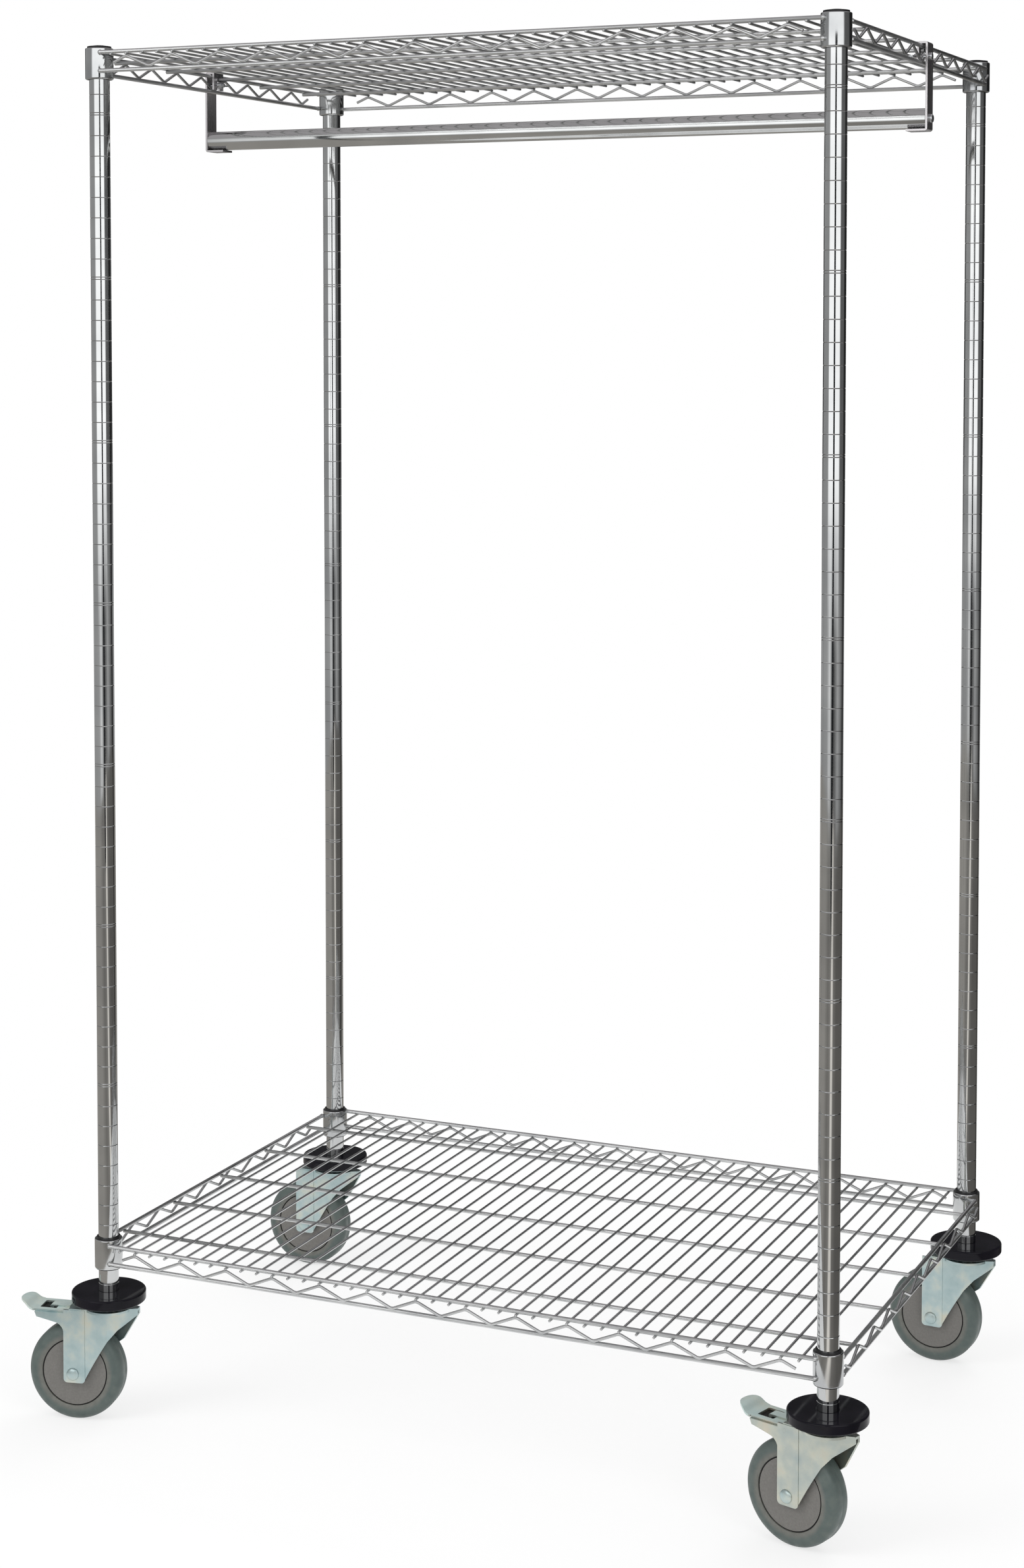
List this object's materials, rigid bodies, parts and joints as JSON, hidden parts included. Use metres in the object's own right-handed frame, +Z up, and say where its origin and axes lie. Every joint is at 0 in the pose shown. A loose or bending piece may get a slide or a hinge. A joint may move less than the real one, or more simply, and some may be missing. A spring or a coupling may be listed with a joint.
{
  "type": "rolling garment rack",
  "caption": "Rolling wire garment rack: round ringed posts, wire shelves above and below, a hanging bar under the top shelf, and swivel casters with bumpers.",
  "frame": {"origin": "on the floor, midway between the four posts", "axes": "+X to the rack's right seen from the front, +Y to its back, +Z up"},
  "size_m": [1.1107, 0.714, 1.7366],
  "materials": {
    "chrome_posts": "bright chrome plate over rolled steel tube",
    "chrome_collars": "bright chrome plate, slightly cloudy",
    "chrome_wire": "bright chrome plate on drawn wire",
    "chrome_bar": "bright chrome plate with fine draw lines",
    "strap_steel": "duller chrome plate on flat bar",
    "fastener_steel": "zinc and nickel plate, bright",
    "zinc_steel": "blue and yellow passivated zinc plate, satin",
    "black_plastic": "satin moulded plastic",
    "bumper_rubber": "glossy moulded vinyl",
    "hub_plastic": "warm grey moulded plastic",
    "tyre_rubber": "green-grey solid rubber, satin"
  },
  "bodies": {
    "rack": {"post_front_left": "chrome_posts", "post_front_right": "chrome_posts", "post_rear_left": "chrome_posts", "post_rear_right": "chrome_posts", "post_caps": "black_plastic", "post_sockets": "black_plastic", "lower_shelf_collars": "chrome_collars", "lower_shelf_sleeves": "black_plastic", "lower_shelf_front_truss": "chrome_wire", "lower_shelf_rear_truss": "chrome_wire", "lower_shelf_left_truss": "chrome_wire", "lower_shelf_right_truss": "chrome_wire", "lower_shelf_deck_wires": "chrome_wire", "lower_shelf_support_wires": "chrome_wire", "upper_shelf_collars": "chrome_collars", "upper_shelf_sleeves": "black_plastic", "upper_shelf_front_truss": "chrome_wire", "upper_shelf_rear_truss": "chrome_wire", "upper_shelf_left_truss": "chrome_wire", "upper_shelf_right_truss": "chrome_wire", "upper_shelf_deck_wires": "chrome_wire", "upper_shelf_support_wires": "chrome_wire", "hanging_bar": "chrome_bar", "bar_strap_left": "strap_steel", "bar_strap_right": "strap_steel", "bar_end_plugs": "black_plastic", "bar_screws": "fastener_steel", "strap_clamp_bolts": "fastener_steel", "strap_wing_nuts": "fastener_steel", "caster_stems": "fastener_steel", "caster_race_cups": "zinc_steel", "caster_bumpers": "bumper_rubber"},
    "swivel_front_left": {"caster_fork_front_left": "zinc_steel", "axle_bolt_front_left": "fastener_steel", "caster_balls_front_left": "fastener_steel", "brake_pivot_front_left": "fastener_steel"},
    "wheel_front_left": {"wheel_hub_front_left": "hub_plastic", "wheel_tyre_front_left": "tyre_rubber", "wheel_bushes_front_left": "fastener_steel"},
    "brake_front_left": {"brake_pedal_front_left": "zinc_steel"},
    "swivel_front_right": {"caster_fork_front_right": "zinc_steel", "axle_bolt_front_right": "fastener_steel", "caster_balls_front_right": "fastener_steel", "brake_pivot_front_right": "fastener_steel"},
    "wheel_front_right": {"wheel_hub_front_right": "hub_plastic", "wheel_tyre_front_right": "tyre_rubber", "wheel_bushes_front_right": "fastener_steel"},
    "brake_front_right": {"brake_pedal_front_right": "zinc_steel"},
    "swivel_rear_left": {"caster_fork_rear_left": "zinc_steel", "axle_bolt_rear_left": "fastener_steel", "caster_balls_rear_left": "fastener_steel"},
    "wheel_rear_left": {"wheel_hub_rear_left": "hub_plastic", "wheel_tyre_rear_left": "tyre_rubber", "wheel_bushes_rear_left": "fastener_steel"},
    "swivel_rear_right": {"caster_fork_rear_right": "zinc_steel", "axle_bolt_rear_right": "fastener_steel", "caster_balls_rear_right": "fastener_steel"},
    "wheel_rear_right": {"wheel_hub_rear_right": "hub_plastic", "wheel_tyre_rear_right": "tyre_rubber", "wheel_bushes_rear_right": "fastener_steel"}
  },
  "joints": [
    {"name": "swivel_front_left_turn", "type": "hinge", "parent": "rack", "child": "swivel_front_left", "pos_m": [-0.475, -0.31, 0.146], "axis": [0, 0, 1], "continuous": true},
    {"name": "wheel_front_left_spin", "type": "hinge", "parent": "swivel_front_left", "child": "wheel_front_left", "pos_m": [-0.51503, -0.31887, 0.062], "axis": [0.2164, -0.9763, 0], "continuous": true},
    {"name": "brake_front_left_press", "type": "hinge", "parent": "swivel_front_left", "child": "brake_front_left", "pos_m": [-0.51796, -0.31952, 0.1374], "axis": [0.2164, -0.9763, 0], "range_deg": [0, 7]},
    {"name": "swivel_front_right_turn", "type": "hinge", "parent": "rack", "child": "swivel_front_right", "pos_m": [0.475, -0.31, 0.146], "axis": [0, 0, 1], "continuous": true},
    {"name": "wheel_front_right_spin", "type": "hinge", "parent": "swivel_front_right", "child": "wheel_front_right", "pos_m": [0.43559, -0.2987, 0.062], "axis": [-0.2756, -0.9613, 0], "continuous": true},
    {"name": "brake_front_right_press", "type": "hinge", "parent": "swivel_front_right", "child": "brake_front_right", "pos_m": [0.4327, -0.29787, 0.1374], "axis": [-0.2756, -0.9613, 0], "range_deg": [0, 7]},
    {"name": "swivel_rear_left_turn", "type": "hinge", "parent": "rack", "child": "swivel_rear_left", "pos_m": [-0.475, 0.31, 0.146], "axis": [0, 0, 1], "continuous": true},
    {"name": "wheel_rear_left_spin", "type": "hinge", "parent": "swivel_rear_left", "child": "wheel_rear_left", "pos_m": [-0.51597, 0.30857, 0.062], "axis": [0.0349, -0.9994, 0], "continuous": true},
    {"name": "swivel_rear_right_turn", "type": "hinge", "parent": "rack", "child": "swivel_rear_right", "pos_m": [0.475, 0.31, 0.146], "axis": [0, 0, 1], "continuous": true},
    {"name": "wheel_rear_right_spin", "type": "hinge", "parent": "swivel_rear_right", "child": "wheel_rear_right", "pos_m": [0.4341, 0.31286, 0.062], "axis": [-0.0698, -0.9976, 0], "continuous": true}
  ]
}
